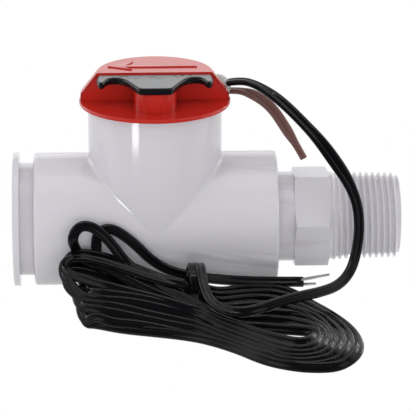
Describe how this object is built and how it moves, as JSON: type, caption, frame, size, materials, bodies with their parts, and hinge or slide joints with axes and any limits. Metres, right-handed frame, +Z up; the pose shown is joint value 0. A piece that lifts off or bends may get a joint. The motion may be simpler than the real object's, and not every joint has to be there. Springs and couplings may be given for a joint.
{
  "type": "paddle flow switch",
  "caption": "Plastic pipe tee with a threaded inlet, a flanged slip outlet and a red capped branch that holds a hinged paddle switch, with a lift-to-test grip and a hank of twin lead.",
  "frame": {"origin": "middle of the base of the pipe fitting and cap, without the cords, on the floor", "axes": "+X along the run towards the threaded inlet, +Z up along the branch to the cap, -Y the front, where the test grip is cut into the cap"},
  "size_m": [0.1146, 0.0998, 0.0652],
  "materials": {
    "pvc_white": "smooth gloss, moulded",
    "abs_red": "smooth gloss, moulded",
    "grip_black": "smooth gloss, moulded",
    "label_silver": "satin foil",
    "cord_black": "gloss insulation",
    "cord_brown": "gloss insulation",
    "tinned_wire": "tinned strands",
    "sealing_compound": "cloudy",
    "cup_plastic": "moulded",
    "rubber_black": "moulded",
    "reed_glass": "clear green",
    "epoxy_dark": "cast",
    "board_green": "laminate",
    "splice_sleeve": "shrunk sleeve",
    "stainless": "ground",
    "spring_steel": "drawn wire",
    "magnet_nickel": "plated",
    "paddle_plastic": "moulded"
  },
  "bodies": {
    "housing": {"tee_body": "pvc_white", "outlet_bushing": "pvc_white", "inlet_bushing": "pvc_white", "inlet_adapter": "pvc_white", "cap_body": "abs_red", "lead_seal": "sealing_compound", "switch_cup": "cup_plastic", "cup_seal": "rubber_black", "reed_switch": "reed_glass", "reed_leads": "tinned_wire", "potting": "epoxy_dark", "switch_board": "board_green", "lead_splices": "splice_sleeve", "hinge_pin": "stainless", "pin_clips": "stainless", "return_spring": "spring_steel", "plunger_spring": "spring_steel", "plunger_seal": "rubber_black", "cord_lead": "cord_black", "cord_tail": "cord_black", "brown_lead": "cord_brown", "cord_hank": "cord_black", "conductor_ends": "tinned_wire"},
    "paddle": {"paddle_arm": "paddle_plastic", "paddle_vane": "stainless", "vane_rivets": "stainless", "paddle_magnet": "magnet_nickel"},
    "test_grip": {"test_handle": "grip_black", "handle_label": "label_silver", "test_plunger": "stainless", "test_magnet": "magnet_nickel", "plunger_clip": "spring_steel"}
  },
  "joints": [
    {"name": "paddle_swing", "type": "hinge", "parent": "housing", "child": "paddle", "pos_m": [-0.01515, 0, 0.0329], "axis": [0, 1, 0], "range_deg": [0, 35], "stiffness_Nm_per_rad": 0.0005, "springref_deg": -11.46, "deforming": ["return_spring"]},
    {"name": "handle_lift", "type": "slide", "parent": "housing", "child": "test_grip", "axis": [0, 0, 1], "range_m": [0, 0.005], "stiffness_N_per_m": 150, "springref_m": -0.004, "deforming": ["plunger_spring"]}
  ]
}
